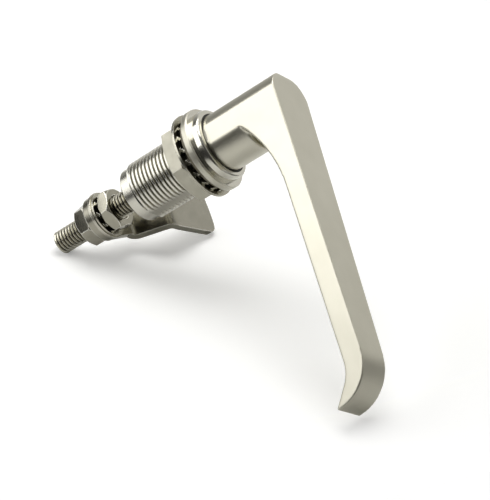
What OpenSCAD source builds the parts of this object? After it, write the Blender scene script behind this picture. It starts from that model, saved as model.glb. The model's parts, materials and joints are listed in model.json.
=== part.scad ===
// Quarter-turn cabinet handle lock with an L-shaped handle and a cranked cam.
// Frame: +Y runs along the spindle into the cabinet, +Z is up, and the handle hangs down.
// The origin is on the spindle axis, at the back face of the flange.

/* [Handle] */
// Distance from the spindle axis down to the tip of the grip
handle_reach = 100.6; // [80:0.1:130]
// Distance from the flange's back face out to the handle's front face
handle_stand_off = 33.3; // [30:0.5:45]
// Thickness of the grip from front to back
grip_thick = 6.75; // [5:0.1:9]
// Width of the handle across its flat sides, at the spindle axis
handle_w = 18.6; // [17:0.1:19.6]
// Width of the grip at its tip
tip_w = 11.6; // [9:0.1:16]
// Diameter of the round hub
hub_d = 19.6; // [19.6:0.1:20.4]
// Radius of the rounded top edge of the front face
top_round_r = 2.2; // [1:0.1:5]
// Radius of the curl on the outside of the tip
tip_curl_r = 13.5; // [10:0.1:18]
// Radius of the curl on the inside of the tip
tip_inner_r = 11; // [8:0.1:14]
// Angle at which the inside of the tip runs out
tip_inner_angle = 42; // [35:1:50]
// Radius of the long throat between the grip and the hub
throat_r = 43; // [35:1:60]
// Depth below the spindle axis at which the throat starts
throat_start = 30; // [28:0.5:40]

/* [Housing] */
// Diameter over the threaded barrel
barrel_d = 20; // [18:0.1:20]
// Length of the barrel behind the flange
barrel_len = 30.5; // [28:0.5:45]
// Distance across the two flats of the barrel
barrel_flats = 18.6; // [17.5:0.1:19]
// Length of the barrel's plain end
barrel_end_len = 4.6; // [3:0.1:8]
// Diameter of the barrel's plain end
barrel_end_d = 18.4; // [18:0.1:19]
// Diameter of the flange
flange_d = 28.2; // [27:0.1:34]
// Thickness of the flange
flange_t = 2.1; // [1.6:0.1:3]
// Diameter of the collar in front of the flange
collar_d = 24.3; // [24:0.1:26]
// Distance from the flange's back face to the collar's front face
collar_h = 5.3; // [5:0.05:8]
// Radius on the front edge of the collar
collar_round_r = 1; // [0.3:0.1:1.2]
// Thickness of the floor inside the collar, measured from the flange's back face
collar_floor = 0.8; // [0.6:0.1:1.5]

/* [Spindle] */
// Diameter of the spindle where it turns in the barrel
journal_d = 12; // [11:0.1:13]
// Diameter of the root of the spindle inside the hub
root_d = 10; // [9:0.1:10.5]
// Depth of the spindle's root in the hub
root_depth = 16; // [12:0.5:20]
// Diameter of the threaded end
stud_d = 8; // [7:0.1:8]
// Distance from the flange's back face to the end of the stud
stud_end = 64.7; // [62:0.1:90]

/* [Seal and retaining parts] */
// Cross section of the shaft seal
o_ring_t = 1.8; // [1.5:0.1:2]
// Distance of the shaft seal behind the flange's back face
o_ring_y = 7; // [5:0.5:12]
// Diameter of the counterbore at the back of the barrel
rear_bore_d = 16; // [15:0.1:16.2]
// Depth of the counterbore at the back of the barrel
rear_bore_depth = 5; // [4.6:0.1:8]
// Thickness of the retaining ring
ring_t = 1; // [0.8:0.1:1.2]
// Depth of the groove that the retaining ring snaps into
ring_groove = 0.8; // [0.5:0.05:1]
// Width of the retaining ring
ring_w = 1.5; // [1.2:0.1:1.7]
// Thickness of the thrust washer
thrust_t = 1; // [0.6:0.1:1.4]
// Free height of the wave washer
wave_h = 1.5; // [1.2:0.1:1.8]
// Thickness of the wave washer's spring strip
wave_t = 0.4; // [0.3:0.05:0.5]
// Diameter of the stop pin
stop_pin_d = 2.2; // [2:0.1:2.4]
// Distance of the stop pin from the spindle axis
stop_pin_r = 7.6; // [7.5:0.05:7.8]
// Diameter of the pin that locks the spindle in the hub
cross_pin_d = 2.5; // [2:0.1:3]
// Width of the dust seal around the hub
dust_seal_w = 0.55; // [0.4:0.05:0.8]
// Depth of the dust seal
dust_seal_t = 1.2; // [0.8:0.1:1.5]

/* [Panel fixing] */
// Thickness of the rubber gasket behind the flange
gasket_t = 1.5; // [0.8:0.1:2]
// Share of the flange's overhang that the gasket covers
gasket_share = 0.66; // [0.5:0.02:1]
// Distance by which the toothed washer reaches past the flange's edge
panel_washer_overhang = 0.3; // [0:0.1:1.5]
// Width of the toothed washer's plain ring
panel_washer_rim = 2.4; // [2:0.1:2.6]
// Thickness of the toothed washer
panel_washer_t = 0.8; // [0.6:0.1:1.2]
// Number of teeth on the toothed washer
panel_washer_teeth = 18; // [10:1:24]
// Distance across the flats of the panel nut
panel_nut_af = 24; // [24:0.5:27]
// Height of the panel nut
panel_nut_h = 5.6; // [4:0.1:8]

/* [Cam] */
// Distance from the flange's back face to the back face of the cam's round end
cam_back = 47.6; // [44:0.1:60]
// Thickness of the cam plate
cam_t = 2.5; // [2:0.1:3]
// Radius of the cam's round end
cam_end_r = 7.8; // [7:0.1:10]
// Distance from the spindle axis to the cam's tip
cam_reach = 43.2; // [36:0.1:60]
// Distance by which the cam's tip is set forward
cam_offset = 13.6; // [8:0.1:16]
// Distance from the axis to the first bend
cam_bend_x = 12.6; // [10:0.1:16]
// Angle of the cranked stretch
cam_bend_angle = 72; // [50:1:75]
// Radius on the corners of the cam's tip
cam_corner_r = 3.5; // [1:0.1:5]
// Half width of the cam at its first bend
cam_neck_hw = 5; // [4:0.1:8]
// Half width of the cam behind its second bend
cam_mid_hw = 7.9; // [6:0.1:9]
// Half width of the cam at its tip
cam_tip_hw = 7.8; // [6:0.1:12]
// Angle of the cam about the spindle, up from level
cam_turn = 8; // [-10:1:15]

/* [Cam fixing] */
// Distance across the flats of the cam nuts
cam_nut_af = 13; // [12:0.1:14]
// Height of the outer nut
outer_nut_h = 5; // [4:0.1:7]
// Height of the inner nut
inner_nut_h = 4; // [3:0.1:5]
// Diameter of the plain washer in front of the cam
plain_washer_d = 16.4; // [15:0.1:18]
// Thickness of the plain washer
plain_washer_t = 0.9; // [0.6:0.1:1.6]
// Outside diameter of the toothed washer
cam_washer_d = 15.6; // [14:0.1:17]
// Width of the toothed washer's plain ring
cam_washer_rim = 1.5; // [1.2:0.1:2]
// Thickness of the toothed washer
cam_washer_t = 0.8; // [0.6:0.1:1.2]
// Number of teeth on the toothed washer
cam_washer_teeth = 10; // [6:1:14]

/* [Fits] */
// Radial gap between a turning shaft and its bore
running_gap = 0.05; // [0.02:0.01:0.1]
// Gap between pieces that seat on each other without turning
seat_gap = 0.02; // [0.01:0.01:0.05]
// Radial gap round the hub inside the collar
hub_gap = 0.1; // [0.05:0.01:0.1]

/* [Hidden] */

$fn = 96;
eps = 0.01;

steel = [0.70, 0.69, 0.66];
bright_steel = [0.80, 0.79, 0.77];
spring_steel = [0.55, 0.54, 0.52];
rubber = [0.08, 0.08, 0.08];

hub_r = hub_d / 2;
flange_r = flange_d / 2;
panel_washer_r = flange_r + panel_washer_overhang;
barrel_r = barrel_d / 2;
gasket_r = barrel_r + gasket_share * (flange_r - barrel_r);
journal_r = journal_d / 2;
stud_r = stud_d / 2;
journal_bore_r = journal_r + running_gap;
collar_bore_r = hub_r + hub_gap;
seal_bore_r = collar_bore_r + dust_seal_w;
rear_bore_r = rear_bore_d / 2;
rear_floor_y = barrel_len - rear_bore_depth;

// The hub runs just clear of the collar's floor
hub_back_y = -(collar_floor + running_gap);

barrel_end_r = barrel_end_d / 2;
barrel_step_y = barrel_len - barrel_end_len;
// Bevels on turned edges
flange_edge = 0.4;
barrel_edge = 0.6;
spindle_edge = 0.5;
stud_edge = 0.8;
// Bevels at a nut's corners and round its bore
panel_nut_drop = 0.9;
cam_nut_drop = 0.9;
nut_bore_edge = 0.4;
// Radial gaps of what lies loose on a shaft, a barrel or in a bore
loose_gap = 0.1;
washer_gap = 0.2;
// Height of the collar's edge over the dust seal
seal_recess = 0.15;
// Distance of the cross pin's ends inside the hub's skin
cross_pin_inset = 0.2;
// Teeth of the two toothed washers
tooth_twist = 40;
panel_tooth_w = 2.4;
cam_tooth_w = 1.9;
// How the three nuts happen to be turned
panel_nut_turn = -32;
inner_nut_turn = -22;
outer_nut_turn = -39.6;

// Half width of the handle between its flat sides, at a height z
function handle_hw(z) = handle_w / 2 + (handle_w - tip_w) / 2 * z / handle_reach;

// Points of an arc in the plane of a profile
function arc(cx, cy, r, a0, a1, steps = 24) =
    [for (i = [0 : steps]) let (a = a0 + (a1 - a0) * i / steps) [cx + r * cos(a), cy + r * sin(a)]];

// Turns a shape drawn along +Z so that it runs along +Y from the plane y
module on_axis(y = 0) {
    translate([0, y, 0]) rotate([-90, 0, 0]) children();
}

// Draws a profile of (y, z) points across the whole width w, centred on x = 0
module across(w) {
    translate([-w / 2, 0, 0]) rotate([90, 0, 90]) linear_extrude(w) children();
}

// Draws an outline of (x, z) points from the plane y0 to the plane y1
module front_view(y0, y1) {
    translate([0, y1, 0]) rotate([90, 0, 0]) linear_extrude(y1 - y0) children();
}

// Round disc between two planes
module disc(r, y0, y1) {
    on_axis(y0) cylinder(r = r, h = y1 - y0);
}

// Round washer between two planes
module washer(r_out, r_in, y0, y1) {
    on_axis(y0) difference() {
        cylinder(r = r_out, h = y1 - y0);
        translate([0, 0, -eps]) cylinder(r = r_in, h = y1 - y0 + 2 * eps);
    }
}

// Sizes of the grip's tip
tip_blunt = 0.7;
tip_run = (tip_curl_r - grip_thick - tip_inner_r * (1 - cos(tip_inner_angle))) / sin(tip_inner_angle);
tip_y = -handle_stand_off + tip_curl_r;
grip_back_y = -handle_stand_off + grip_thick;
tip_inner_z = -handle_reach + tip_blunt + tip_run * cos(tip_inner_angle)
    + tip_inner_r * sin(tip_inner_angle);
// The throat ends a little below the spindle axis, inside the hub
throat_top = 3;
throat_angle = asin((throat_start - throat_top) / throat_r);
throat_y = grip_back_y + throat_r * (1 - cos(throat_angle));

// Side view of the handle, with the hooked tip and the long throat
module handle_side() {
    polygon(concat(
        [[throat_y, hub_r + 1]],
        arc(-handle_stand_off + top_round_r, hub_r - top_round_r, top_round_r, 90, 180),
        arc(tip_y, -handle_reach + tip_curl_r, tip_curl_r, 180, 270, 32),
        arc(grip_back_y + tip_inner_r, tip_inner_z, tip_inner_r, 180 + tip_inner_angle, 180),
        arc(grip_back_y + throat_r, -throat_start, throat_r, 180, 180 - throat_angle)
    ));
}

// Cross pin and stop groove share the back of the hub
cross_pin_y = -(collar_h + collar_floor) / 2;
stop_pin_seat = 3;
stop_groove_depth = 2.6;
stop_groove_gap = 0.35;
stop_pin_at = 45;
stop_travel = 90;
stop_margin = asin((stop_pin_d / 2 + stop_groove_gap) / stop_pin_r);

// Groove in the back of the hub that lets the stop pin travel a quarter turn
module stop_groove() {
    half = stop_travel / 2 + stop_margin;
    mid = stop_pin_at + stop_travel / 2;
    reach = 2 * hub_r;
    y0 = hub_back_y - stop_groove_depth;
    intersection() {
        washer(stop_pin_r + stop_pin_d / 2 + stop_groove_gap,
               stop_pin_r - stop_pin_d / 2 - stop_groove_gap, y0, hub_back_y + 1);
        front_view(y0 - 1, hub_back_y + 2)
            polygon([[0, 0],
                     reach * [cos(mid - half), sin(mid - half)],
                     reach * [cos(mid), sin(mid)],
                     reach * [cos(mid + half), sin(mid + half)]]);
    }
}

// Cast handle: round hub, flat sides, grip that tapers to a hooked tip
module handle() {
    color(steel) difference() {
        union() {
            disc(hub_r, -collar_h, hub_back_y);
            intersection() {
                union() {
                    disc(hub_r, throat_y - 2, -collar_h);
                    intersection() {
                        across(3 * hub_r) handle_side();
                        union() {
                            disc(hub_r, -handle_stand_off - 1, throat_y);
                            translate([-hub_r, -handle_stand_off - 1, -handle_reach - 1])
                                cube([2 * hub_r, handle_stand_off, handle_reach + 1]);
                        }
                    }
                }
                front_view(-handle_stand_off - 1, 0)
                    polygon([[handle_hw(-handle_reach - 1), -handle_reach - 1],
                             [handle_hw(hub_r + 1), hub_r + 1],
                             [-handle_hw(hub_r + 1), hub_r + 1],
                             [-handle_hw(-handle_reach - 1), -handle_reach - 1]]);
            }
        }
        disc(root_d / 2 + seat_gap, -root_depth - seat_gap, 0);
        translate([-hub_r - 1, cross_pin_y, 0]) rotate([0, 90, 0])
            cylinder(d = cross_pin_d + 2 * seat_gap, h = 2 * hub_r + 2);
        stop_groove();
    }
}

// Barrel, flange and collar turned in one piece
module housing() {
    color(bright_steel) difference() {
        on_axis() rotate_extrude() polygon(concat(
            [[journal_bore_r, -collar_floor],
             [collar_bore_r, -collar_floor],
             [collar_bore_r, -collar_h + dust_seal_t],
             [seal_bore_r, -collar_h + dust_seal_t],
             [seal_bore_r, -collar_h]],
            arc(collar_d / 2 - collar_round_r, -collar_h + collar_round_r, collar_round_r, -90, 0, 12),
            [[collar_d / 2, -flange_t],
             [flange_r - flange_edge, -flange_t],
             [flange_r, -flange_t + flange_edge],
             [flange_r, 0],
             [barrel_r, 0],
             [barrel_r, barrel_step_y],
             [barrel_end_r, barrel_step_y + barrel_r - barrel_end_r],
             [barrel_end_r, barrel_len - barrel_edge],
             [barrel_end_r - barrel_edge, barrel_len],
             [rear_bore_r, barrel_len],
             [rear_bore_r, rear_floor_y],
             [journal_bore_r, rear_floor_y]]
        ));
        for (side = [-1, 1])
            translate([-barrel_r, 0, side > 0 ? barrel_flats / 2 : -barrel_flats / 2 - barrel_r])
                cube([2 * barrel_r, barrel_len + 1, barrel_r]);
        rotate([0, -stop_pin_at, 0]) translate([stop_pin_r, 0, 0])
            disc(stop_pin_d / 2 + seat_gap, -collar_floor - 1, stop_pin_seat);
    }
}

// Rubber ring that closes the gap between hub and collar
module dust_seal() {
    color(rubber) washer(seal_bore_r - seat_gap, hub_r + running_gap,
                         -collar_h + seal_recess, -collar_h + dust_seal_t - seat_gap);
}

// Pin that stops the hub at the ends of its quarter turn
module stop_pin() {
    color(steel) rotate([0, -stop_pin_at, 0]) translate([stop_pin_r, 0, 0])
        disc(stop_pin_d / 2, hub_back_y - stop_groove_depth + stop_groove_gap, stop_pin_seat - seat_gap);
}

// Pin that locks the spindle in the hub, held in place by the collar round it
module cross_pin() {
    color(steel) translate([cross_pin_inset - hub_r, cross_pin_y, 0]) rotate([0, 90, 0])
        cylinder(d = cross_pin_d, h = 2 * (hub_r - cross_pin_inset));
}

// The spring parts stack on the floor of the rear bore
wave_y = rear_floor_y + seat_gap;
thrust_y = wave_y + wave_h + seat_gap;
ring_y = thrust_y + thrust_t + running_gap;
ring_shoulder = 0.9;
spindle_end_y = ring_y + ring_t + ring_shoulder;
ring_in_r = journal_r - ring_groove + seat_gap;
ring_out_r = ring_in_r + ring_w;
// Middle of the shaft seal's cross section, which just clears the barrel's bore
o_ring_c = journal_r + seat_gap - o_ring_t / 2;
o_groove_side = 0.15;

// Turned spindle: root for the hub, journal with two grooves, and the stud
module spindle() {
    o_groove_r = o_ring_c - o_ring_t / 2 - seat_gap;
    o_groove_hw = o_ring_t / 2 + o_groove_side;
    ring_groove_r = journal_r - ring_groove;
    ring_groove_y0 = ring_y - running_gap;
    ring_groove_y1 = ring_y + ring_t + running_gap;
    color(steel) difference() {
        on_axis() rotate_extrude() polygon([
            [0, -root_depth], [root_d / 2 - spindle_edge, -root_depth],
            [root_d / 2, -root_depth + spindle_edge],
            [root_d / 2, hub_back_y + seat_gap], [journal_r, hub_back_y + seat_gap],
            [journal_r, o_ring_y - o_groove_hw], [o_groove_r, o_ring_y - o_groove_hw],
            [o_groove_r, o_ring_y + o_groove_hw], [journal_r, o_ring_y + o_groove_hw],
            [journal_r, ring_groove_y0], [ring_groove_r, ring_groove_y0],
            [ring_groove_r, ring_groove_y1], [journal_r, ring_groove_y1],
            [journal_r, spindle_end_y - spindle_edge], [journal_r - spindle_edge, spindle_end_y],
            [stud_r, spindle_end_y], [stud_r, stud_end - stud_edge],
            [stud_r - stud_edge, stud_end], [0, stud_end]
        ]);
        translate([-hub_r, cross_pin_y, 0]) rotate([0, 90, 0])
            cylinder(d = cross_pin_d + 2 * seat_gap, h = 2 * hub_r);
    }
}

// Rubber ring in the front groove of the spindle
module shaft_seal() {
    color(rubber) on_axis(o_ring_y) rotate_extrude()
        translate([o_ring_c, 0]) circle(d = o_ring_t, $fn = 32);
}

// Snap ring with an open side and two lugs
module retaining_ring() {
    lug_r = 0.6 * ring_w;
    mouth = 1.6;
    color(spring_steel) difference() {
        union() {
            disc(ring_out_r, ring_y, ring_y + ring_t);
            for (side = [-1, 1])
                translate([side * (mouth / 2 + lug_r), 0, -ring_out_r])
                    disc(lug_r, ring_y, ring_y + ring_t);
        }
        disc(ring_in_r, ring_y - 1, ring_y + ring_t + 1);
        translate([-mouth / 2, ring_y - 1, -2 * ring_out_r]) cube([mouth, ring_t + 2, 2 * ring_out_r]);
    }
}

// Thrust washer between the wave washer and the snap ring
module thrust_washer() {
    color(steel) washer(rear_bore_r - washer_gap, journal_r + loose_gap, thrust_y, thrust_y + thrust_t);
}

// Spring washer pressed into three waves, which holds the handle where it is put
module wave_washer() {
    steps = 72;
    waves = 3;
    r_out = rear_bore_r - washer_gap;
    r_in = journal_r + washer_gap;
    amp = (wave_h - wave_t) / 2;
    ring = [for (i = [0 : steps - 1])
        let (a = 360 * i / steps, m = wave_y + wave_h / 2 + amp * cos(waves * a))
        for (p = [[r_in, -1], [r_out, -1], [r_out, 1], [r_in, 1]])
            [p[0] * cos(a), m + p[1] * wave_t / 2, p[0] * sin(a)]];
    faces = [for (i = [0 : steps - 1]) let (j = (i + 1) % steps)
        for (k = [0 : 3]) let (l = (k + 1) % 4)
            for (f = [[4 * i + k, 4 * i + l, 4 * j + l], [4 * i + k, 4 * j + l, 4 * j + k]]) f];
    color(spring_steel) polyhedron(points = ring, faces = faces);
}

// Flat rubber gasket under the flange
module gasket() {
    color(rubber) washer(gasket_r, barrel_r + loose_gap, 0, gasket_t);
}

// Height over the twisted teeth of a toothed washer
function tooth_height(w, t) = w * sin(tooth_twist) + t * cos(tooth_twist);

// Washer with internal teeth, each twisted about its own radius; y is its back face
module toothed_washer(r_out, rim, r_bore, t, teeth, tooth_w, y) {
    r_rim = r_out - rim;
    tooth_y = y - tooth_height(tooth_w, t) / 2;
    tooth_reach = r_rim + 0.25 * rim - r_bore;
    color(spring_steel) union() {
        washer(r_out, r_rim, y - t, y);
        for (i = [0 : teeth - 1])
            rotate([0, 360 * (i + 0.5) / teeth, 0])
                translate([r_bore, tooth_y, 0]) rotate([tooth_twist, 0, 0])
                translate([0, -t / 2, -tooth_w / 2]) cube([tooth_reach, t, tooth_w]);
    }
}
panel_washer_y = gasket_t + tooth_height(panel_tooth_w, panel_washer_t);

// Toothed washer between the cabinet's panel and the panel nut
module panel_washer() {
    toothed_washer(panel_washer_r, panel_washer_rim, barrel_r + washer_gap, panel_washer_t,
                   panel_washer_teeth, panel_tooth_w, panel_washer_y);
}

// Hexagon nut between two planes, with its corners turned off at both ends
module hex_nut(af, bore_r, y0, y1, corner_drop) {
    corner_r = af / 2 / cos(30);
    h = y1 - y0;
    intersection() {
        on_axis(y0) cylinder(r = corner_r, h = h, $fn = 6);
        on_axis(y0) rotate_extrude() polygon([
            [bore_r + nut_bore_edge, 0], [af / 2, 0], [corner_r, corner_drop],
            [corner_r + 1, corner_drop], [corner_r + 1, h - corner_drop], [corner_r, h - corner_drop],
            [af / 2, h], [bore_r + nut_bore_edge, h], [bore_r, h - nut_bore_edge], [bore_r, nut_bore_edge]
        ]);
    }
}

// Large nut that clamps the panel
module panel_nut() {
    y0 = panel_washer_y + seat_gap;
    color(bright_steel) rotate([0, panel_nut_turn, 0])
        hex_nut(panel_nut_af, barrel_r + running_gap, y0, y0 + panel_nut_h, panel_nut_drop);
}

// The cam and its washers stack between the two nuts
cam_front = cam_back - cam_t;
plain_washer_y = cam_front - seat_gap - plain_washer_t;
cam_washer_y = plain_washer_y - seat_gap;
inner_nut_back = cam_washer_y - tooth_height(cam_tooth_w, cam_washer_t) - seat_gap;

// Thin nut in front of the cam
module inner_nut() {
    color(bright_steel) rotate([0, inner_nut_turn, 0])
        hex_nut(cam_nut_af, stud_r + running_gap, inner_nut_back - inner_nut_h, inner_nut_back,
                cam_nut_drop);
}

// Nut behind the cam
module outer_nut() {
    y0 = cam_back + seat_gap;
    color(bright_steel) rotate([0, outer_nut_turn, 0])
        hex_nut(cam_nut_af, stud_r + running_gap, y0, y0 + outer_nut_h, cam_nut_drop);
}

// Toothed washer under the inner nut
module cam_washer() {
    toothed_washer(cam_washer_d / 2, cam_washer_rim, stud_r + washer_gap, cam_washer_t,
                   cam_washer_teeth, cam_tooth_w, cam_washer_y);
}

// Plain washer on the cam's front face
module plain_washer() {
    color(bright_steel) washer(plain_washer_d / 2, stud_r + washer_gap,
                               plain_washer_y, plain_washer_y + plain_washer_t);
}

// Sizes of the cam's two bends
cam_bend_r = 3;
cam_mid_y = cam_back - cam_t / 2;
cam_crank_len = (cam_offset - 2 * cam_bend_r * (1 - cos(cam_bend_angle))) / sin(cam_bend_angle);
cam_flat_x = cam_bend_x + 2 * cam_bend_r * sin(cam_bend_angle) + cam_crank_len * cos(cam_bend_angle);

// One side of the bent plate, offset by d from its middle line
function cam_side(d) = concat(
    [[-cam_end_r - 1, cam_mid_y + d]],
    arc(cam_bend_x, cam_mid_y - cam_bend_r, cam_bend_r + d, 90, 90 - cam_bend_angle, 10),
    arc(cam_flat_x, cam_mid_y - cam_offset + cam_bend_r, cam_bend_r - d, 270 - cam_bend_angle, 270, 10),
    [[cam_reach + 1, cam_mid_y - cam_offset + d]]);

// The corners of the cam's tip run into an arc about the spindle axis
cam_corner_z = cam_tip_hw - cam_corner_r;
cam_corner_a = asin(cam_corner_z / (cam_reach - cam_corner_r));
cam_corner_x = (cam_reach - cam_corner_r) * cos(cam_corner_a);

// Upper or lower half of the cam's outline, from the round end to the middle of the tip
function cam_half(side) = concat(
    [[0, side * cam_end_r], [cam_bend_x, side * cam_neck_hw], [cam_flat_x, side * cam_mid_hw]],
    arc(cam_corner_x, side * cam_corner_z, cam_corner_r, side * 90, side * cam_corner_a, 8),
    arc(0, 0, cam_reach, side * cam_corner_a, 0, 8));

// Cranked cam plate, cut to its outline
module cam() {
    back = cam_side(cam_t / 2);
    front = cam_side(-cam_t / 2);
    upper = cam_half(1);
    low_y = cam_mid_y - 2 * cam_offset;
    color(bright_steel) rotate([0, -cam_turn, 0]) difference() {
        intersection() {
            translate([0, 0, -3 * cam_end_r]) linear_extrude(6 * cam_end_r)
                polygon(concat(back, [for (i = [len(front) - 1 : -1 : 0]) front[i]]));
            union() {
                disc(cam_end_r, low_y, cam_back + 1);
                front_view(low_y, cam_back + 1)
                    polygon(concat(cam_half(-1), [for (i = [len(upper) - 2 : -1 : 0]) upper[i]]));
            }
        }
        disc(stud_r + washer_gap, cam_front - 1, cam_back + 1);
    }
}

housing();
dust_seal();
stop_pin();
wave_washer();
thrust_washer();
gasket();
panel_washer();
panel_nut();
handle();
spindle();
cross_pin();
shaft_seal();
retaining_ring();
inner_nut();
cam_washer();
plain_washer();
cam();
outer_nut();
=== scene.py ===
"""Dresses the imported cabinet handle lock: screw threads, finishes, table, light and camera."""
import json
import math

import bmesh
import bpy
from bpy.props import FloatProperty, FloatVectorProperty, IntProperty, PointerProperty, StringProperty
from mathutils import Matrix, Vector


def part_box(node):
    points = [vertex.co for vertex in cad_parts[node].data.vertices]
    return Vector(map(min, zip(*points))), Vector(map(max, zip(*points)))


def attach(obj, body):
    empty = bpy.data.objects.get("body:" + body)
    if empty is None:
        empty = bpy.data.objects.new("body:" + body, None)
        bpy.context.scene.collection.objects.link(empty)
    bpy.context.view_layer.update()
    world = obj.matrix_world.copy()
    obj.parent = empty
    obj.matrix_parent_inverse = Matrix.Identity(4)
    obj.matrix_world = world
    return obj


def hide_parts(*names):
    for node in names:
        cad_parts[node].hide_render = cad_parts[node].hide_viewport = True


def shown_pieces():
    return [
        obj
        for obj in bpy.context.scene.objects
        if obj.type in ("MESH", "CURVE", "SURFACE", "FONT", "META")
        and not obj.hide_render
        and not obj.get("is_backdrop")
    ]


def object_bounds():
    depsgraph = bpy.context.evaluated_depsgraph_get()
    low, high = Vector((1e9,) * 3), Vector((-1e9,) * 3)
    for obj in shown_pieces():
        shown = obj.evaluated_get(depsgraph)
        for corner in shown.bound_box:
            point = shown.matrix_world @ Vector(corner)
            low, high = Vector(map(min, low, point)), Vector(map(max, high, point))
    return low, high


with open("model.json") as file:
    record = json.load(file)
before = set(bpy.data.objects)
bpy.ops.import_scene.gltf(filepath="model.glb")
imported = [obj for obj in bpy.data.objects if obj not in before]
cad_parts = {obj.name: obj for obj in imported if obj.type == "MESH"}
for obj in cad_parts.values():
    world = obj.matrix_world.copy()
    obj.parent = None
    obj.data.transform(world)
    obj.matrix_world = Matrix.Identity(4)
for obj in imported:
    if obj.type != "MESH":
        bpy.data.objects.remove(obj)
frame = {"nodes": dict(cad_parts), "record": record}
CAD_BOX = [list(corner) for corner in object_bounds()]

bl_info = {
    "name": "Cabinet handle lock",
    "version": (1, 0, 0),
    "blender": (4, 5, 0),
    "location": "View3D > Sidebar > Lock",
    "description": "Dresses a quarter-turn cabinet handle lock with threads, finishes and a studio",
    "category": "Object",
}

MM = 0.001
TAU = 2 * math.pi
PHOTO_LONG_SIDE = 500
SENSOR = 36

# The table's upward direction in the frame of the part, which lies on its stud, cam and tip
TABLE_UP = Vector((-0.5211, -0.6561, 0.5459)).normalized()


def mount_radius(name):
    """Outside radius of a thread in mm, from the part's record."""
    return next(mount["dims"]["r_mm"] for mount in frame["record"]["mounts"] if mount["name"] == name)


# Sizes in mm of the turned solids, where the frame's boxes don't give them
BARREL_R = mount_radius("barrel_thread")
STUD_R = mount_radius("stud_end")
COLLAR_R = 12.15
BARREL_FLAT = 9.3
BARREL_END_R = 9.2
BARREL_END_LEN = 4.6
REAR_BORE_R = 8.0
REAR_BORE_DEPTH = 5.0
BARREL_RUN_OUT = 0.4
JOURNAL_R = 6.0
JOURNAL_START_Y = -0.8
ROOT_R = 5.0
SHOULDER_Y = 29.99

# Radius in mm of the ring that closes a turned piece at its axis
AXIS_R = 0.01

# Edges over this many degrees stay sharp, and points closer than this many mm are one
SHARP_ANGLE = 28
WELD = 0.001
CAST_WELD = 0.002

# A wave texture runs through this many radians per unit
WAVE_RADIANS = 20

# Roughness that machined steel loses and gains from spot to spot
SMOOTHER = 0.03
ROUGHER = 0.05


def linear(colour):
    """Turns an sRGB hex colour such as #C8C4B8 into linear red, green, blue and alpha."""
    parts = [int(colour[i:i + 2], 16) / 255 for i in (1, 3, 5)]
    return tuple(c / 12.92 if c <= 0.04045 else ((c + 0.055) / 1.055) ** 2.4 for c in parts) + (1.0,)


def add_node(tree, kind, values=None, links=None, **settings):
    """Adds a shader node, sets its settings and socket values and links its inputs."""
    node = tree.nodes.new(kind)
    for name, value in settings.items():
        setattr(node, name, value)
    for socket, value in (values or {}).items():
        node.inputs[socket].default_value = value
    for socket, source in (links or {}).items():
        tree.links.new(source, node.inputs[socket])
    return node


# Shapes

def new_mesh(name, vertices, faces):
    """Makes an object from points in millimetres, smooth apart from its sharp edges."""
    mesh = bpy.data.meshes.new(name)
    mesh.from_pydata([Vector(v) * MM for v in vertices], [], faces)
    shape = bmesh.new()
    shape.from_mesh(mesh)
    bmesh.ops.remove_doubles(shape, verts=shape.verts, dist=WELD * MM)
    shape.to_mesh(mesh)
    shape.free()
    mesh.shade_smooth()
    mesh.set_sharp_from_angle(angle=math.radians(SHARP_ANGLE))
    piece = bpy.data.objects.new(name, mesh)
    bpy.context.scene.collection.objects.link(piece)
    return piece


def revolve(name, rings, columns):
    """Joins rings about the Y axis into a closed skin; each ring gives (x, y, z) for an angle.

    The points at a full turn are welded to those that they meet, which lets a ring run on as a helix."""
    points = [ring(TAU * i / columns) for ring in rings for i in range(columns + 1)]
    faces = []
    for k in range(len(rings)):
        low = k * (columns + 1)
        high = (k + 1) % len(rings) * (columns + 1)
        faces += [(low + i, high + i, high + i + 1, low + i + 1) for i in range(columns)]
    return new_mesh(name, points, faces)


def softened_copy(node, name, grain, passes, width_at):
    """Copies a solid as a new object with every edge rounded, as a casting's are; grain is in mm.

    The copy is remeshed with its taper taken out by width_at(z), so that its flat sides stay flat."""
    shape = bmesh.new()
    shape.from_mesh(frame["nodes"][node].data)
    bmesh.ops.remove_doubles(shape, verts=shape.verts, dist=CAST_WELD * MM)
    for vertex in shape.verts:
        vertex.co.x /= width_at(vertex.co.z)
    mesh = bpy.data.meshes.new(name)
    shape.to_mesh(mesh)
    shape.free()
    piece = bpy.data.objects.new(name, mesh)
    bpy.context.scene.collection.objects.link(piece)
    remesh = piece.modifiers.new("even faces", "REMESH")
    remesh.mode = "VOXEL"
    remesh.voxel_size = grain * MM
    rounding = piece.modifiers.new("rounded edges", "SMOOTH")
    rounding.factor = 0.5
    rounding.iterations = passes
    evaluated = piece.evaluated_get(bpy.context.evaluated_depsgraph_get())
    piece.data = bpy.data.meshes.new_from_object(evaluated)
    piece.modifiers.clear()
    for vertex in piece.data.vertices:
        vertex.co.x *= width_at(vertex.co.z)
    piece.data.shade_smooth()
    return piece


def plain_ring(radius, y, flat=None):
    """Ring of one radius, cut by two flats above and below the axis."""
    def place(angle):
        z = radius * math.sin(angle)
        if flat is not None:
            z = max(-flat, min(flat, z))
        return (radius * math.cos(angle), y, z)
    return place


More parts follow.
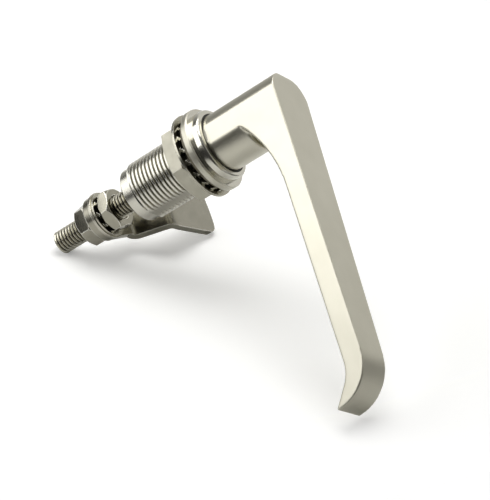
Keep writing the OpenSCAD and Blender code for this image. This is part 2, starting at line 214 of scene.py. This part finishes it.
def thread_rings(y0, y1, crest, depth, pitch, land, flat=None):
    """Rows along a screw thread, which runs out at both ends; land is the crest's share of the pitch."""
    root = 0.2
    flank = (1 - land - root) / 2
    profile = ((0.0, 0.0), (land, 0.0), (land + flank / 2, 0.5), (land + flank, 1.0),
               (land + flank + root, 1.0), (1 - flank / 2, 0.5))
    fade = 0.6 * pitch

    def row(turns, cut):
        def place(angle):
            y = max(y0, min(y1, y0 + pitch * (turns - angle / TAU)))
            run_out = min(1.0, (y - y0) / fade, (y1 - y) / fade)
            return plain_ring(crest - depth * cut * run_out, y, flat)(angle)
        return place
    turns = math.ceil((y1 - y0) / pitch) + 1
    return [row(turn + share, cut) for turn in range(turns) for share, cut in profile] + [row(turns, 0.0)]


# Finishes

def finish_base(name, colour, metallic, roughness, edge):
    """Starts a material; returns it with its tree, shader, rounded-edge normal and coordinates in mm."""
    material = bpy.data.materials.new(name)
    material.use_nodes = True
    tree = material.node_tree
    shader = tree.nodes["Principled BSDF"]
    shader.inputs["Base Color"].default_value = linear(colour)
    shader.inputs["Metallic"].default_value = metallic
    shader.inputs["Roughness"].default_value = roughness
    rounded = add_node(tree, "ShaderNodeBevel", {"Radius": edge * MM}, samples=6)
    place = add_node(tree, "ShaderNodeTexCoord")
    scaled = add_node(tree, "ShaderNodeMapping", {"Scale": (1 / MM,) * 3},
                      {"Vector": place.outputs["Object"]})
    return material, tree, shader, rounded, scaled.outputs["Vector"]


def mottle(tree, at, size, low=0.0, high=1.0, detail=3.0):
    """Noise with features of a size in mm, mapped to a range of values."""
    noise = add_node(tree, "ShaderNodeTexNoise", {"Scale": 1 / size, "Detail": detail}, {"Vector": at})
    spread = add_node(tree, "ShaderNodeMapRange", {"To Min": low, "To Max": high},
                      {"Value": noise.outputs["Fac"]})
    return spread.outputs["Result"]


def blend_colours(tree, factor, first, second):
    """Mixes two hex colours by a factor."""
    mix = add_node(tree, "ShaderNodeMix", {}, {0: factor}, data_type="RGBA")
    mix.inputs[6].default_value = linear(first)
    mix.inputs[7].default_value = linear(second)
    return mix.outputs[2]


def wear_and_highlight_edges(tree, rounded, colour, edge_wear_and_highlight):
    """Paints the edges bright, where the rounded normal leaves that of the faces: rubbed wear and a painted
    highlight.
    """
    bright_edge_start, bright_edge_full = 0.998, 0.95
    # Painted highlight and rubbed wear: the bright colour follows every edge, whatever the light
    surface = add_node(tree, "ShaderNodeNewGeometry")
    flat = add_node(tree, "ShaderNodeVectorMath", {},
                    {0: rounded.outputs["Normal"], 1: surface.outputs["Normal"]}, operation="DOT_PRODUCT")
    edge = add_node(tree, "ShaderNodeMapRange", {"From Min": bright_edge_start, "From Max": bright_edge_full},
                    {"Value": flat.outputs["Value"]})
    mix = add_node(tree, "ShaderNodeMix", {}, {0: edge.outputs["Result"], 6: colour}, data_type="RGBA")
    mix.inputs[7].default_value = linear(edge_wear_and_highlight)
    return mix.outputs[2]


def roughen(tree, shader, rounded, height, strength, distance):
    """Adds a bump of a distance in mm over the rounded edges."""
    bump = add_node(tree, "ShaderNodeBump", {"Strength": strength, "Distance": distance * MM},
                    {"Height": height, "Normal": rounded.outputs["Normal"]})
    tree.links.new(bump.outputs["Normal"], shader.inputs["Normal"])


def blasted_cast_steel(name, colour, shade, roughness):
    """Investment-cast stainless steel, ground and finely blasted, and coarser towards the tip."""
    clouds_size, grain_size = 9, 1.6
    coarser_from, coarser_to, tip_extra = -25, -90, 0.12
    material, tree, shader, rounded, at = finish_base(name, colour, 1.0, roughness, edge=0.2)
    clouds = mottle(tree, at, clouds_size)
    tree.links.new(blend_colours(tree, clouds, colour, shade), shader.inputs["Base Color"])
    grain = mottle(tree, at, grain_size, low=-0.01, high=0.02)
    height = add_node(tree, "ShaderNodeSeparateXYZ", {}, {"Vector": at}).outputs["Z"]
    coarser = add_node(tree, "ShaderNodeMapRange",
                       {"From Min": coarser_from, "From Max": coarser_to,
                        "To Min": roughness, "To Max": roughness + tip_extra},
                       {"Value": height})
    both = add_node(tree, "ShaderNodeMath", {}, {0: coarser.outputs["Result"], 1: grain}, operation="ADD")
    tree.links.new(both.outputs["Value"], shader.inputs["Roughness"])
    # The blast's real pits are 0.05 mm wide; they are drawn at 0.22 mm to show as a faint grain
    pits = mottle(tree, at, 0.22, detail=2.0)
    roughen(tree, shader, rounded, pits, strength=0.25, distance=0.012)
    return material


def turned_steel(name, colour, shade, roughness, edge=0.15):
    """Stainless steel turned on a lathe: fine rings round the Y axis and a smooth sheen."""
    clouds_size, grain_size = 4, 0.8
    material, tree, shader, rounded, at = finish_base(name, colour, 1.0, roughness, edge)
    clouds = mottle(tree, at, clouds_size)
    tree.links.new(blend_colours(tree, clouds, colour, shade), shader.inputs["Base Color"])
    # The tool's real feed is 0.05 mm a turn; its rings are drawn 0.1428 mm apart to spread the highlight
    feed = 0.1428
    rings = add_node(tree, "ShaderNodeTexWave",
                     {"Scale": TAU / WAVE_RADIANS / feed, "Distortion": 0.6, "Detail": 1.5},
                     {"Vector": at}, wave_type="BANDS", bands_direction="Y")
    grain = mottle(tree, at, grain_size, roughness - SMOOTHER, roughness + ROUGHER)
    tree.links.new(grain, shader.inputs["Roughness"])
    roughen(tree, shader, rounded, rings.outputs["Fac"], strength=0.15, distance=0.006)
    return material


def threaded_steel(name, colour, root_shade, roughness, crest, depth):
    """Stainless steel with a screw thread: bright crests, and roots darkened with painted shade."""
    grain_size, scuff_size = 0.8, 0.5
    root_shade_start, root_shade_full = 0.25, 0.9
    material, tree, shader, rounded, at = finish_base(name, colour, 1.0, roughness, edge=0.1)
    across = add_node(tree, "ShaderNodeVectorMath", {1: (1, 0, 1)}, {0: at}, operation="MULTIPLY")
    out = add_node(tree, "ShaderNodeVectorMath", {}, {0: across.outputs["Vector"]}, operation="LENGTH")
    # Painted shade: the colour darkens from the crest down into the roots, where the flanks shade them
    root_shade_mask = add_node(tree, "ShaderNodeMapRange",
                   {"From Min": crest - root_shade_start * depth, "From Max": crest - root_shade_full * depth},
                   {"Value": out.outputs["Value"]})
    tree.links.new(blend_colours(tree, root_shade_mask.outputs["Result"], colour, root_shade), shader.inputs["Base Color"])
    grain = mottle(tree, at, grain_size, roughness - SMOOTHER, roughness + ROUGHER)
    tree.links.new(grain, shader.inputs["Roughness"])
    scuffs = mottle(tree, at, scuff_size)
    roughen(tree, shader, rounded, scuffs, strength=0.2, distance=0.01)
    return material


def tumbled_steel(name, colour, shade, roughness, edge=0.25, dent=0.02, edge_wear_and_highlight="#EFEDE4"):
    """Pressed or cold-formed steel, tumbled: small dents, softened edges painted bright with rubbed wear and
    a painted highlight, and a patchy sheen.
    """
    clouds_size, sheen_size, dent_size = 3, 2.2, 0.7
    material, tree, shader, rounded, at = finish_base(name, colour, 1.0, roughness, edge)
    clouds = mottle(tree, at, clouds_size)
    faces = blend_colours(tree, clouds, colour, shade)
    # Every edge is painted bright: rubbed wear and a painted highlight
    tree.links.new(wear_and_highlight_edges(tree, rounded, faces, edge_wear_and_highlight), shader.inputs["Base Color"])
    sheen = mottle(tree, at, sheen_size, 0.8 * roughness, 1.25 * roughness)
    tree.links.new(sheen, shader.inputs["Roughness"])
    dents = mottle(tree, at, dent_size)
    roughen(tree, shader, rounded, dents, strength=0.3, distance=dent)
    return material


def moulded_rubber(name, colour, shade):
    """Moulded rubber with a matte grain and a faint grey bloom."""
    bloom_size = 2
    material, tree, shader, rounded, at = finish_base(name, colour, 0.0, roughness=0.6, edge=0.1)
    bloom = mottle(tree, at, bloom_size)
    tree.links.new(blend_colours(tree, bloom, colour, shade), shader.inputs["Base Color"])
    # The mould's real grain is 0.05 mm wide; it is drawn at 0.15 mm to break up the highlight
    grain = mottle(tree, at, 0.15)
    roughen(tree, shader, rounded, grain, strength=0.3, distance=0.01)
    return material


def dress(material, *nodes):
    """Gives carried-over solids their finish."""
    for node in nodes:
        solid = frame["nodes"][node]
        solid.data.materials.clear()
        solid.data.materials.append(material)


def put_on(piece, material, slot, body, *nodes):
    """Finishes a new piece and lets it stand for its nodes on a body; its slot name is not used."""
    piece.data.materials.append(material)
    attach(piece, body)
    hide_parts(*nodes)


class LockSizes(bpy.types.PropertyGroup):
    """Sizes of the screw threads and of the casting's faces."""
    barrel_pitch: FloatProperty(
        name="Barrel pitch", description="Pitch of the barrel's thread in mm", default=1.5, min=0.5, max=3)
    barrel_depth: FloatProperty(
        name="Barrel thread depth", description="Depth of the barrel's thread in mm",
        default=0.72, min=0.2, max=1.5)
    barrel_land: FloatProperty(
        name="Barrel crest", description="Share of the barrel's pitch that its crest takes",
        default=0.42, min=0.05, max=0.6, subtype="FACTOR")
    stud_pitch: FloatProperty(
        name="Stud pitch", description="Pitch of the stud's thread in mm", default=1.25, min=0.5, max=2)
    stud_depth: FloatProperty(
        name="Stud thread depth", description="Depth of the stud's thread in mm",
        default=0.68, min=0.2, max=1)
    stud_land: FloatProperty(
        name="Stud crest", description="Share of the stud's pitch that its crest takes",
        default=0.14, min=0.05, max=0.6, subtype="FACTOR")
    cast_grain: FloatProperty(
        name="Casting grain", description="Size of the casting's faces in mm", default=0.3, min=0.2, max=1)
    cast_passes: IntProperty(
        name="Casting passes", description="Passes that round the casting's edges",
        default=14, min=0, max=30)
    columns: IntProperty(
        name="Columns", description="Points round a turned piece", default=160, min=32, max=360)


class LockColours(bpy.types.PropertyGroup):
    """Colours of the finishes, in sRGB hex."""
    cast: StringProperty(name="Cast steel", description="Handle and the flange's rim", default="#CFCCBE")
    polished: StringProperty(name="Polished steel", description="Housing and spindle", default="#D8D6CC")
    plated: StringProperty(name="Nut steel", description="Panel nut and plain washer", default="#C2BFB1")
    bright: StringProperty(name="Bright nut steel", description="The cam's two nuts", default="#ABA89A")
    sheet: StringProperty(name="Sheet steel", description="Cam", default="#A6A396")
    spring: StringProperty(name="Spring steel", description="Toothed washers", default="#BDBAAC")
    rubber: StringProperty(name="Rubber", description="Seals", default="#0F0F0E")
    gasket: StringProperty(name="Dusty rubber", description="Gasket", default="#6E6858")


class LockStage(bpy.types.PropertyGroup):
    """Camera, light and table."""
    camera_place: FloatVectorProperty(
        name="Camera place", description="Camera position", subtype="TRANSLATION", unit="LENGTH",
        default=(-0.4305, -0.2499, -0.2761))
    look_azimuth: FloatProperty(
        name="Azimuth", description="Direction of view from +X towards +Y, in degrees", default=29.91)
    look_elevation: FloatProperty(
        name="Elevation", description="Direction of view above level, in degrees", default=25.68)
    roll: FloatProperty(name="Roll", description="Turn of the camera about its view, in degrees",
                        default=-16.14)
    focal_pixels: FloatProperty(
        name="Focal length", description="Focal length in photo pixels", default=1800)
    soft_light: FloatProperty(
        name="Soft light", description="Power of the large side light in W", default=4.4)
    top_light: FloatProperty(
        name="Top light", description="Power of the overhead light in W", default=4.1)
    surround: FloatProperty(name="Surround", description="Brightness of the room", default=0.3)
    fill: FloatProperty(
        name="Fill", description="Share of the room's light that reaches matte surfaces",
        default=0.55, min=0, max=1, subtype="FACTOR")
    backdrop: FloatProperty(name="Backdrop", description="Brightness of the backdrop", default=0.76)
    table_reach: FloatProperty(name="Table radius", description="Radius of the table", unit="LENGTH",
                               default=0.34)
    table_shift: FloatProperty(
        name="Table shift", description="Shift of the table away from the camera",
        unit="LENGTH", default=0.2)
    table_glow: FloatProperty(
        name="Table glow", description="Light that the table adds for the camera", default=0.27)
    table_colour: StringProperty(name="Table", description="Table colour in sRGB hex", default="#F6F6F4")


class LOCK_OT_housing(bpy.types.Operator):
    """Makes the housing with its collar, flange and threaded barrel"""
    bl_idname = "lock.housing"
    bl_label = "Housing"

    def execute(self, context):
        sizes = context.scene.lock_sizes
        colours = context.scene.lock_colours
        low, high = (Vector(corner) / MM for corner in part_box("housing"))
        flange_r, barrel_end = high.x, high.y
        piece = revolve("threaded_housing", self.rings(sizes, -low.y, flange_r, barrel_end), sizes.columns)
        # Polished on the lathe: the collar mirrors the light in clean bright and dark bands
        polished = turned_steel("turned_polished_stainless", colours.polished,
                                shade="#C9C6BA", roughness=0.14)
        put_on(piece, polished, "polished_stainless", "lock_body", "housing")
        # Left as blasted: the flange's rim is softer and duller than the collar
        rim = tumbled_steel("blasted_rim_stainless", colours.cast,
                            shade="#B8B5A7", roughness=0.36, edge=0.15)
        # Cut with a die: crests glint in thin lines between roots greyed with painted shade
        thread = threaded_steel("cut_thread_stainless", colours.polished, root_shade="#B0ADA1", roughness=0.19,
                                crest=BARREL_R, depth=sizes.barrel_depth)
        # Turned with a plain tool: the barrel's end has a softer streak of light
        satin = turned_steel("turned_satin_stainless", colours.polished, shade="#C9C6BA", roughness=0.2)
        for material in (rim, thread, satin):
            piece.data.materials.append(material)
        rim_slot, thread_slot, satin_slot = 1, 2, 3
        thread_end = (barrel_end - BARREL_END_LEN + BARREL_RUN_OUT) * MM
        for face in piece.data.polygons:
            out = math.hypot(face.center.x, face.center.z) / MM
            if 0 < face.center.y < thread_end and out > (REAR_BORE_R + BARREL_END_R) / 2:
                face.material_index = thread_slot
            elif face.center.y > 0:
                face.material_index = satin_slot
            elif out > (flange_r + COLLAR_R) / 2:
                face.material_index = rim_slot
        return {"FINISHED"}

    def rings(self, sizes, collar_h, flange_r, barrel_end):
        """Rings of the housing from the seal's bore over the collar and the barrel to the rear bore."""
        flange_t, flange_edge, barrel_edge, collar_round = 2.1, 0.4, 0.6, 1.0
        journal_bore_r, hub_bore_r, seal_r, seal_t, floor_t = 6.05, 9.9, 10.45, 1.2, 0.8
        arc_steps = 6
        step_y = barrel_end - BARREL_END_LEN
        front = [(journal_bore_r, -floor_t), (hub_bore_r, -floor_t), (hub_bore_r, seal_t - collar_h),
                 (seal_r, seal_t - collar_h), (seal_r, -collar_h)]
        for k in range(arc_steps + 1):
            turn = math.radians(90 * k / arc_steps)
            front.append((COLLAR_R - collar_round + collar_round * math.sin(turn),
                          -collar_h + collar_round - collar_round * math.cos(turn)))
        front += [(COLLAR_R, -flange_t), (flange_r - flange_edge, -flange_t),
                  (flange_r, flange_edge - flange_t), (flange_r, 0)]
        rings = [plain_ring(r, y) for r, y in front]
        rings.append(plain_ring(BARREL_R, 0, BARREL_FLAT))
        rings += thread_rings(BARREL_RUN_OUT, step_y + BARREL_RUN_OUT, BARREL_R, sizes.barrel_depth,
                              sizes.barrel_pitch, sizes.barrel_land, BARREL_FLAT)
        back = [(BARREL_END_R, step_y + 2 * BARREL_RUN_OUT), (BARREL_END_R, barrel_end - barrel_edge),
                (BARREL_END_R - barrel_edge, barrel_end), (REAR_BORE_R, barrel_end),
                (REAR_BORE_R, barrel_end - REAR_BORE_DEPTH), (journal_bore_r, barrel_end - REAR_BORE_DEPTH)]
        return rings + [plain_ring(r, y) for r, y in back]


class LOCK_OT_spindle(bpy.types.Operator):
    """Makes the spindle with its threaded stud"""
    bl_idname = "lock.spindle"
    bl_label = "Spindle"

    def execute(self, context):
        sizes = context.scene.lock_sizes
        colours = context.scene.lock_colours
        low, high = (Vector(corner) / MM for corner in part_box("spindle"))
        piece = revolve("threaded_spindle", self.rings(sizes, low.y, high.y), sizes.columns // 2)
        # Turned to run in the barrel: smooth, with an even sheen
        journal = turned_steel("turned_spindle_stainless", colours.polished, shade="#BDBAAE", roughness=0.18)
        put_on(piece, journal, "turned_stainless", "handle_and_cam", "spindle")
        # Rolled: hard bright crests, with painted shade nearly black between them
        thread = threaded_steel("rolled_thread_stainless", colours.plated, root_shade="#4A473F", roughness=0.18,
                                crest=STUD_R, depth=sizes.stud_depth)
        piece.data.materials.append(thread)
        for face in piece.data.polygons:
            if face.center.y > SHOULDER_Y * MM:
                face.material_index = 1
        return {"FINISHED"}

    def rings(self, sizes, front_end, back_end):
        """Rings of the spindle from its root in the hub over the journal to the stud's end."""
        shoulder_edge, stud_edge, thread_start, thread_stop = 0.5, 0.8, 0.8, 0.5
        profile = [(AXIS_R, front_end), (ROOT_R, front_end), (ROOT_R, JOURNAL_START_Y),
                   (JOURNAL_R, JOURNAL_START_Y), (JOURNAL_R, SHOULDER_Y - shoulder_edge),
                   (JOURNAL_R - shoulder_edge, SHOULDER_Y), (STUD_R, SHOULDER_Y)]
        rings = [plain_ring(r, y) for r, y in profile]
        rings += thread_rings(SHOULDER_Y + thread_start, back_end - thread_stop, STUD_R, sizes.stud_depth,
                              sizes.stud_pitch, sizes.stud_land)
        return rings + [plain_ring(STUD_R - stud_edge, back_end), plain_ring(AXIS_R, back_end)]


class LOCK_OT_handle(bpy.types.Operator):
    """Rounds the edges of the cast grip and finishes the handle"""
    bl_idname = "lock.handle"
    bl_label = "Handle"

    def execute(self, context):
        sizes = context.scene.lock_sizes
        colours = context.scene.lock_colours
        piece = softened_copy("handle", "cast_handle", sizes.cast_grain, sizes.cast_passes, self.width_at)
        # Investment cast and blasted: a soft glow with no sharp mirror image, duller near the tip
        cast = blasted_cast_steel("blasted_cast_stainless", colours.cast, shade="#C2BFB0", roughness=0.29)
        put_on(piece, cast, "cast_stainless", "handle_and_cam", "handle")
        return {"FINISHED"}

    def width_at(self, z):
        """Width of the tapered grip at a height in metres, as a share of its width at the spindle."""
        hub_width, tip_width, reach = 18.6, 11.6, 0.1006
        return 1 + (hub_width - tip_width) / hub_width * z / reach


class LOCK_OT_nuts(bpy.types.Operator):
    """Finishes the three nuts"""
    bl_idname = "lock.nuts"
    bl_label = "Nuts"

    def execute(self, context):
        colours = context.scene.lock_colours
        # Cold formed and tumbled: even grey faces with corners painted bright, as rubbed wear and a painted
        # highlight
        dress(tumbled_steel("cold_formed_nut_steel", colours.plated, shade="#ABA89A", roughness=0.45),
              "panel_nut")
        # Turned bright: each facet mirrors its own part of the room, light or dark, with corners painted
        # near white as a painted highlight and rubbed wear
        dress(tumbled_steel("turned_bright_nut_steel", colours.bright, shade="#949184", roughness=0.07,
                            edge=0.35, dent=0.003, edge_wear_and_highlight="#FFFDF4"),
              "inner_nut", "outer_nut")
        return {"FINISHED"}


class LOCK_OT_washers(bpy.types.Operator):
    """Finishes the plain and toothed washers"""
    bl_idname = "lock.washers"
    bl_label = "Washers"

    def execute(self, context):
        colours = context.scene.lock_colours
        # Stamped and tumbled: a rolled edge painted bright, as rubbed wear and a painted highlight
        dress(tumbled_steel("stamped_washer_steel", colours.plated, shade="#B5B2A6", roughness=0.2,
                            edge=0.12),
              "plain_washer")
        # Hardened: the teeth are a little darker, and their twisted edges are painted bright as rubbed wear
        # and a painted highlight
        dress(tumbled_steel("hardened_spring_steel", colours.spring, shade="#A3A092", roughness=0.22,
                            edge=0.15),
              "panel_washer", "cam_washer")
        return {"FINISHED"}


class LOCK_OT_cam(bpy.types.Operator):
    """Finishes the cranked cam"""
    bl_idname = "lock.cam"
    bl_label = "Cam"

    def execute(self, context):
        colours = context.scene.lock_colours
        # Stamped from sheet and tumbled: slightly wavy faces that go dark where they turn down
        dress(tumbled_steel("stamped_sheet_stainless", colours.sheet, shade="#939083", roughness=0.17,
                            edge=0.35),
              "cam")
        return {"FINISHED"}


class LOCK_OT_seals(bpy.types.Operator):
    """Finishes the rubber gasket and seals"""
    bl_idname = "lock.seals"
    bl_label = "Seals"

    def execute(self, context):
        colours = context.scene.lock_colours
        # Nitrile rubber from a mould: a black matte line round the hub
        dress(moulded_rubber("moulded_black_rubber", colours.rubber, shade="#2A2925"),
              "dust_seal", "shaft_seal")
        # The same with dust and talc on it: a dull brown-grey band behind the flange
        dress(moulded_rubber("dusty_grey_rubber", colours.gasket, shade="#968F7D"), "gasket")
        return {"FINISHED"}


class LOCK_OT_inner_parts(bpy.types.Operator):
    """Finishes the pins, washers and ring inside the housing"""
    bl_idname = "lock.inner_parts"
    bl_label = "Inner parts"

    def execute(self, context):
        colours = context.scene.lock_colours
        # Turned: a plain bright ring
        dress(turned_steel("turned_washer_steel", colours.plated, shade="#B0AEA2", roughness=0.25),
              "thrust_washer")
        # Spring strip with a film of oil: darker, with patches of sheen
        dress(tumbled_steel("oiled_spring_steel", colours.spring, shade="#8C8A80", roughness=0.3,
                            edge=0.08),
              "wave_washer", "retaining_ring")
        # Ground: an even fine sheen
        dress(turned_steel("ground_pin_steel", colours.spring, shade="#A5A398", roughness=0.2),
              "stop_pin", "cross_pin")
        return {"FINISHED"}


# Stage

def bearing(azimuth, elevation):
    """Direction at an azimuth and elevation in degrees over the table; azimuth 0 is the cabinet's side."""
    ahead = (Vector((0, 1, 0)) - TABLE_UP * TABLE_UP.y).normalized()
    aside = TABLE_UP.cross(ahead)
    level = ahead * math.cos(math.radians(azimuth)) + aside * math.sin(math.radians(azimuth))
    return level * math.cos(math.radians(elevation)) + TABLE_UP * math.sin(math.radians(elevation))


def sky_patch(tree, place, behind, azimuth, elevation, inner, outer, level):
    """Blends a round patch of sky between two angles in degrees into the brightness behind it."""
    facing = add_node(tree, "ShaderNodeVectorMath", {1: bearing(azimuth, elevation)}, {0: place},
                      operation="DOT_PRODUCT")
    patch = add_node(tree, "ShaderNodeMapRange",
                     {"From Min": math.cos(math.radians(outer)), "From Max": math.cos(math.radians(inner)),
                      "To Max": level}, {"Value": facing.outputs["Value"]}, interpolation_type="SMOOTHSTEP")
    if isinstance(behind, float):
        patch.inputs["To Min"].default_value = behind
    else:
        tree.links.new(behind, patch.inputs["To Min"])
    return patch.outputs["Result"]


def lowest_on_table():
    """Lowest reach of the object along the table's upward direction, in metres."""
    lowest = math.inf
    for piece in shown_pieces():
        if piece.type == "MESH":
            for vertex in piece.data.vertices:
                lowest = min(lowest, TABLE_UP.dot(piece.matrix_world @ vertex.co))
    return lowest


def look_along(direction, up):
    """Rotation of a camera or light that faces a direction."""
    back = -direction.normalized()
    right = up.cross(back).normalized()
    return Matrix((right, back.cross(right), back)).transposed().to_4x4()


def soft_box(name, target, power, azimuth, elevation, distance, width, height, roll):
    """Large area light that shines on the target from a bearing, rolled by degrees."""
    light = bpy.data.lights.new(name, "AREA")
    light.shape = "RECTANGLE"
    light.size = width
    light.size_y = height
    light.energy = power
    lamp = bpy.data.objects.new(name, light)
    direction = bearing(azimuth, elevation)
    turned = look_along(-direction, TABLE_UP) @ Matrix.Rotation(math.radians(roll), 4, "Z")
    lamp.matrix_world = Matrix.Translation(target + direction * distance) @ turned
    bpy.context.scene.collection.objects.link(lamp)


class LOCK_OT_stage(bpy.types.Operator):
    """Adds the camera, the table that the lock lies on and soft studio light"""
    bl_idname = "lock.stage"
    bl_label = "Stage"

    def execute(self, context):
        stage = context.scene.lock_stage
        centre = (Vector(CAD_BOX[0]) + Vector(CAD_BOX[1])) / 2
        self.add_camera(context, stage)
        self.add_table(stage, centre)
        self.add_room(context, stage)
        soft_box("side_light", centre, stage.soft_light, azimuth=18, elevation=31.6, distance=1.0,
                 width=1.22, height=0.57, roll=-14)
        soft_box("top_light", centre, stage.top_light, azimuth=-60, elevation=75, distance=0.8,
                 width=0.65, height=0.65, roll=0)
        return {"FINISHED"}

    def add_camera(self, context, stage):
        """Camera at the photograph's viewing angle."""
        azimuth = math.radians(stage.look_azimuth)
        elevation = math.radians(stage.look_elevation)
        direction = Vector((math.cos(azimuth) * math.cos(elevation),
                            math.sin(azimuth) * math.cos(elevation),
                            math.sin(elevation)))
        level = look_along(direction, Vector((0, 0, 1)))
        camera = bpy.data.cameras.new("camera")
        camera.sensor_fit = "AUTO"
        camera.sensor_width = SENSOR
        camera.lens = stage.focal_pixels * SENSOR / PHOTO_LONG_SIDE
        camera.clip_start = 0.01
        camera.dof.use_dof = False
        seat = bpy.data.objects.new("camera", camera)
        roll = Matrix.Rotation(math.radians(stage.roll), 4, "Z")
        seat.matrix_world = Matrix.Translation(stage.camera_place) @ level @ roll
        context.scene.collection.objects.link(seat)
        context.scene.camera = seat

    def add_table(self, stage, centre):
        """Flat pale table under the three points that the lock rests on, fading out at its rim."""
        drop = lowest_on_table() - TABLE_UP.dot(centre)
        shift_azimuth = -50
        foot = centre + TABLE_UP * drop + bearing(shift_azimuth, 0) * stage.table_shift
        half = stage.table_reach
        side = TABLE_UP.cross(Vector((0, 0, 1))).normalized()
        far = TABLE_UP.cross(side)
        corners = [foot + side * a * half + far * b * half for a, b in ((-1, -1), (1, -1), (1, 1), (-1, 1))]
        table = new_mesh("table", [corner / MM for corner in corners], [(0, 1, 2, 3)])
        table.data.materials.append(self.table_material(stage, foot))
        table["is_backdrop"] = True

    def table_material(self, stage, foot):
        """Matte white table that is clear from below and past its rim."""
        fade_start = 0.7
        material = bpy.data.materials.new("matte_white_table")
        material.use_nodes = True
        tree = material.node_tree
        shader = tree.nodes["Principled BSDF"]
        shader.inputs["Base Color"].default_value = linear(stage.table_colour)
        shader.inputs["Roughness"].default_value = 0.85
        shader.inputs["Specular IOR Level"].default_value = 0.1
        shader.inputs["Emission Color"].default_value = linear("#FFFFFF")
        surface = add_node(tree, "ShaderNodeNewGeometry")
        away = add_node(tree, "ShaderNodeVectorMath", {1: foot}, {0: surface.outputs["Position"]},
                        operation="DISTANCE")
        fade = add_node(tree, "ShaderNodeMapRange",
                        {"From Min": fade_start * stage.table_reach, "From Max": stage.table_reach},
                        {"Value": away.outputs["Value"]}, interpolation_type="SMOOTHSTEP")
        hidden = add_node(tree, "ShaderNodeMath", {},
                          {0: fade.outputs["Result"], 1: surface.outputs["Backfacing"]}, operation="MAXIMUM")
        seen = add_node(tree, "ShaderNodeLightPath")
        glow = add_node(tree, "ShaderNodeMath", {1: stage.table_glow}, {0: seen.outputs["Is Camera Ray"]},
                        operation="MULTIPLY")
        tree.links.new(glow.outputs["Value"], shader.inputs["Emission Strength"])
        clear = add_node(tree, "ShaderNodeBsdfTransparent")
        both = add_node(tree, "ShaderNodeMixShader", {},
                        {0: hidden.outputs["Value"], 1: shader.outputs["BSDF"], 2: clear.outputs["BSDF"]})
        tree.links.new(both.outputs["Shader"], tree.nodes["Material Output"].inputs["Surface"])
        return material

    def add_room(self, context, stage):
        """Room that the steel reflects, with a bright backdrop and a few dark gaps, over plain white."""
        context.scene.view_settings.view_transform = "Standard"
        world = bpy.data.worlds.new("studio")
        context.scene.world = world
        world.use_nodes = True
        tree = world.node_tree
        shader = tree.nodes["Background"]
        shader.inputs["Color"].default_value = linear("#FFFEFA")
        place = add_node(tree, "ShaderNodeTexCoord").outputs["Generated"]
        room = stage.surround
        # Each patch: azimuth, elevation, angle where it is full, angle where it is gone, brightness
        for patch in ((-112, 8, 30, 70, stage.backdrop),  # backdrop, in the handle's front face
                      (-25, 19, 5, 13, 0.12),  # gap at the side light's left end, under the head's top band
                      (-147, -6, 8, 22, 0.1),  # dark floor's edge, in the curve of the tip
                      (110, 20, 25, 45, 0.05),  # dark side of the camera, in the hub below the head
                      (66, -13, 18, 28, 0.04),  # dark band along the collar
                      (32, 4, 9, 15, 0.05)):  # dark gap below the side light, in the outer nut
            room = sky_patch(tree, place, room, *patch)
        seen = add_node(tree, "ShaderNodeLightPath")
        fill = add_node(tree, "ShaderNodeMapRange", {"To Min": 1.0, "To Max": stage.fill},
                        {"Value": seen.outputs["Is Diffuse Ray"]})
        level = add_node(tree, "ShaderNodeMath", {}, {0: room, 1: fill.outputs["Result"]},
                         operation="MULTIPLY")
        tree.links.new(level.outputs["Value"], shader.inputs["Strength"])
        plain = add_node(tree, "ShaderNodeBackground", {"Color": linear("#FFFFFF"), "Strength": 1.0})
        both = add_node(tree, "ShaderNodeMixShader", {},
                        {0: seen.outputs["Is Camera Ray"], 1: shader.outputs["Background"],
                         2: plain.outputs["Background"]})
        tree.links.new(both.outputs["Shader"], tree.nodes["World Output"].inputs["Surface"])


OPERATORS = (LOCK_OT_housing, LOCK_OT_spindle, LOCK_OT_handle, LOCK_OT_nuts, LOCK_OT_washers, LOCK_OT_cam,
             LOCK_OT_seals, LOCK_OT_inner_parts, LOCK_OT_stage)


class LOCK_PT_sidebar(bpy.types.Panel):
    """Lists the settings and the steps that dress the lock"""
    bl_idname = "LOCK_PT_sidebar"
    bl_label = "Cabinet handle lock"
    bl_space_type = "VIEW_3D"
    bl_region_type = "UI"
    bl_category = "Lock"

    def draw(self, context):
        for group in (context.scene.lock_sizes, context.scene.lock_colours, context.scene.lock_stage):
            for name in group.__annotations__:
                self.layout.prop(group, name)
        for step in OPERATORS:
            self.layout.operator(step.bl_idname)


GROUPS = {"lock_sizes": LockSizes, "lock_colours": LockColours, "lock_stage": LockStage}


def register():
    """Registers the classes and hangs the settings on the scene."""
    for name, group in GROUPS.items():
        bpy.utils.register_class(group)
        setattr(bpy.types.Scene, name, PointerProperty(type=group))
    for step in OPERATORS:
        bpy.utils.register_class(step)
    bpy.utils.register_class(LOCK_PT_sidebar)


def unregister():
    """Removes the classes and the settings."""
    bpy.utils.unregister_class(LOCK_PT_sidebar)
    for step in reversed(OPERATORS):
        bpy.utils.unregister_class(step)
    for name, group in reversed(GROUPS.items()):
        delattr(bpy.types.Scene, name)
        bpy.utils.unregister_class(group)


def main():
    """Dresses the lock, one step after another."""
    register()
    bpy.ops.lock.housing()
    bpy.ops.lock.spindle()
    bpy.ops.lock.handle()
    bpy.ops.lock.nuts()
    bpy.ops.lock.washers()
    bpy.ops.lock.cam()
    bpy.ops.lock.seals()
    bpy.ops.lock.inner_parts()
    bpy.ops.lock.stage()


if __name__ == "__main__":
    main()
